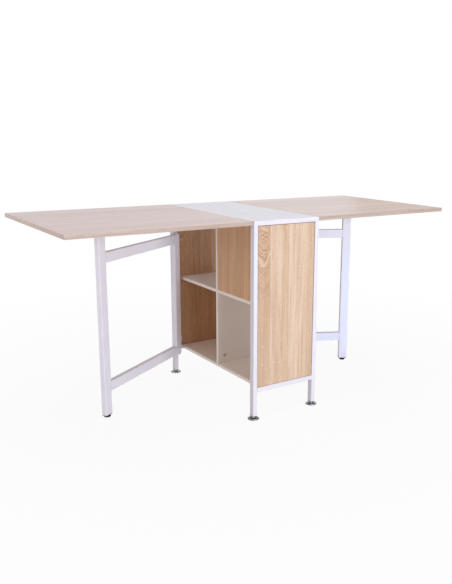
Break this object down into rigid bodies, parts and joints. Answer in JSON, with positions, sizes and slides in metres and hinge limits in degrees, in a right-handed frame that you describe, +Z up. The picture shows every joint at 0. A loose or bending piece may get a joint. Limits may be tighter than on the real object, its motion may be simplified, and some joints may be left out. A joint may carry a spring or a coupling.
{
  "type": "drop-leaf kitchen table with storage cabinet",
  "caption": "Folding dining table: open cabinet on steel end frames, oak drop leaves held up by swinging gate legs",
  "frame": {"origin": "on the floor under the middle of the cabinet", "axes": "+X along the opened table towards the right leaf, +Y towards the end where the gate legs pivot, +Z up"},
  "size_m": [1.622, 0.673, 0.74],
  "materials": {
    "white_powder_coat": "satin white powder coat with a faint orange-peel texture",
    "white_laminate": "white melamine-faced board, low sheen",
    "oak_laminate": "light sawn-oak melamine with fine grain, low sheen",
    "chrome": "bright chrome plating",
    "zinc_steel": "bright zinc plating",
    "beech": "plain turned beech",
    "black_plastic": "matt black plastic",
    "white_plastic": "matt white plastic"
  },
  "bodies": {
    "cabinet": {"front_end_frame": "white_powder_coat", "back_end_frame": "white_powder_coat", "front_end_panel": "oak_laminate", "back_end_panel": "oak_laminate", "top_panel": "white_laminate", "bottom_panel": "white_laminate", "shelf": "white_laminate", "upper_divider": "white_laminate", "lower_divider": "white_laminate", "upper_closing_panel": "oak_laminate", "lower_closing_panel": "oak_laminate", "frame_tabs": "white_powder_coat", "tab_screws": "zinc_steel", "cam_locks": "zinc_steel", "cam_bolts": "zinc_steel", "dowels": "beech", "post_inserts": "black_plastic", "gate_lugs": "white_powder_coat", "gate_pins": "zinc_steel", "hinge_plates": "zinc_steel", "hinge_pins": "zinc_steel", "hinge_plate_screws": "zinc_steel"},
    "left_leaf": {"left_leaf_board": "oak_laminate", "left_leaf_flaps": "zinc_steel", "left_leaf_screws": "zinc_steel"},
    "left_gate": {"left_gate_frame": "white_powder_coat", "left_gate_bushes": "white_plastic", "left_gate_cap": "white_plastic", "left_gate_glide": "black_plastic"},
    "right_leaf": {"right_leaf_board": "oak_laminate", "right_leaf_flaps": "zinc_steel", "right_leaf_screws": "zinc_steel"},
    "right_gate": {"right_gate_frame": "white_powder_coat", "right_gate_bushes": "white_plastic", "right_gate_cap": "white_plastic", "right_gate_glide": "black_plastic"},
    "front_left_leveller": {"front_left_foot": "chrome"},
    "front_right_leveller": {"front_right_foot": "chrome"},
    "back_left_leveller": {"back_left_foot": "chrome"},
    "back_right_leveller": {"back_right_foot": "chrome"}
  },
  "joints": [
    {"name": "left_leaf_hinge", "type": "hinge", "parent": "cabinet", "child": "left_leaf", "pos_m": [-0.145, 0, 0.7217], "axis": [0, 1, 0], "range_deg": [0, 5]},
    {"name": "right_leaf_hinge", "type": "hinge", "parent": "cabinet", "child": "right_leaf", "pos_m": [0.145, 0, 0.7217], "axis": [0, -1, 0], "range_deg": [0, 5]},
    {"name": "left_gate_pivot", "type": "hinge", "parent": "cabinet", "child": "left_gate", "pos_m": [-0.134, 0.28736, 0.357], "axis": [0, 0, -1], "range_deg": [-57.5, 32.5]},
    {"name": "right_gate_pivot", "type": "hinge", "parent": "cabinet", "child": "right_gate", "pos_m": [0.134, 0.28736, 0.357], "axis": [0, 0, 1], "range_deg": [-63, 27]},
    {"name": "front_left_foot_turn", "type": "hinge", "parent": "cabinet", "child": "front_left_leveller", "pos_m": [-0.1355, -0.3145, 0], "axis": [0, 0, 1], "continuous": true},
    {"name": "front_right_foot_turn", "type": "hinge", "parent": "cabinet", "child": "front_right_leveller", "pos_m": [0.1355, -0.3145, 0], "axis": [0, 0, 1], "continuous": true},
    {"name": "back_left_foot_turn", "type": "hinge", "parent": "cabinet", "child": "back_left_leveller", "pos_m": [-0.1355, 0.3145, 0], "axis": [0, 0, 1], "continuous": true},
    {"name": "back_right_foot_turn", "type": "hinge", "parent": "cabinet", "child": "back_right_leveller", "pos_m": [0.1355, 0.3145, 0], "axis": [0, 0, 1], "continuous": true}
  ]
}
